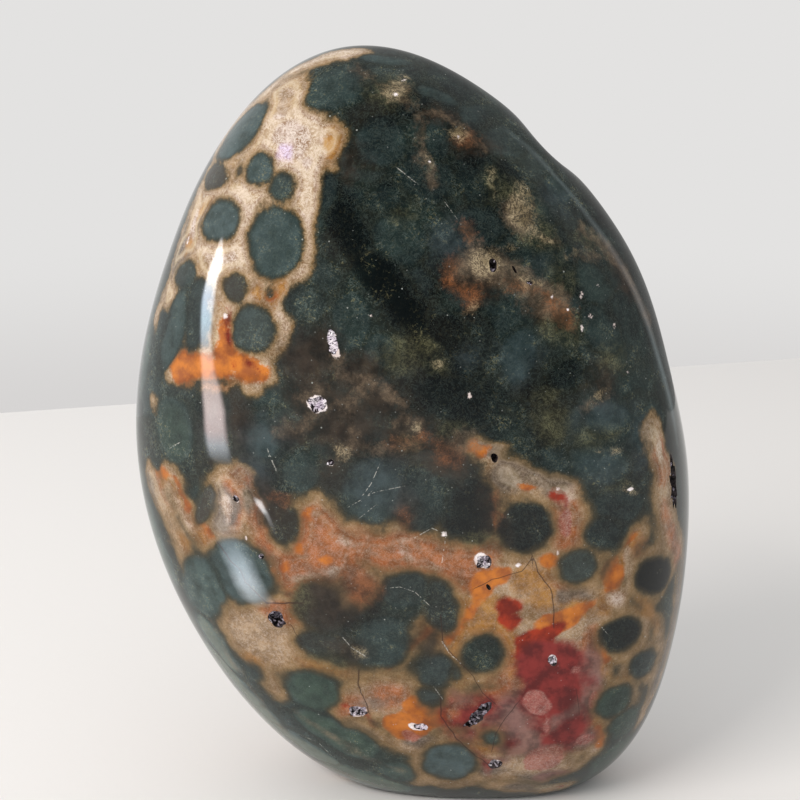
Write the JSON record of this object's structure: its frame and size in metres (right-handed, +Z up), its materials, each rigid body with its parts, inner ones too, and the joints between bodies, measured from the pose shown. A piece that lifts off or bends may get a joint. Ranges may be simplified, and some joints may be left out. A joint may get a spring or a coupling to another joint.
{
  "type": "polished ocean jasper freeform",
  "caption": "Upright polished freeform of orbicular jasper with druse-lined pits, a broad domed face and a small flat spot it stands on.",
  "frame": {"origin": "middle of the flat spot that the stone stands on", "axes": "+Z up along the stone's height, the broad polished face looks towards -Y, +X to the right of someone who looks at that face"},
  "size_m": [0.089, 0.0488, 0.1201],
  "materials": {
    "jasper": "polished"
  },
  "bodies": {
    "root": {"jasper_stone": "jasper"}
  },
  "joints": []
}
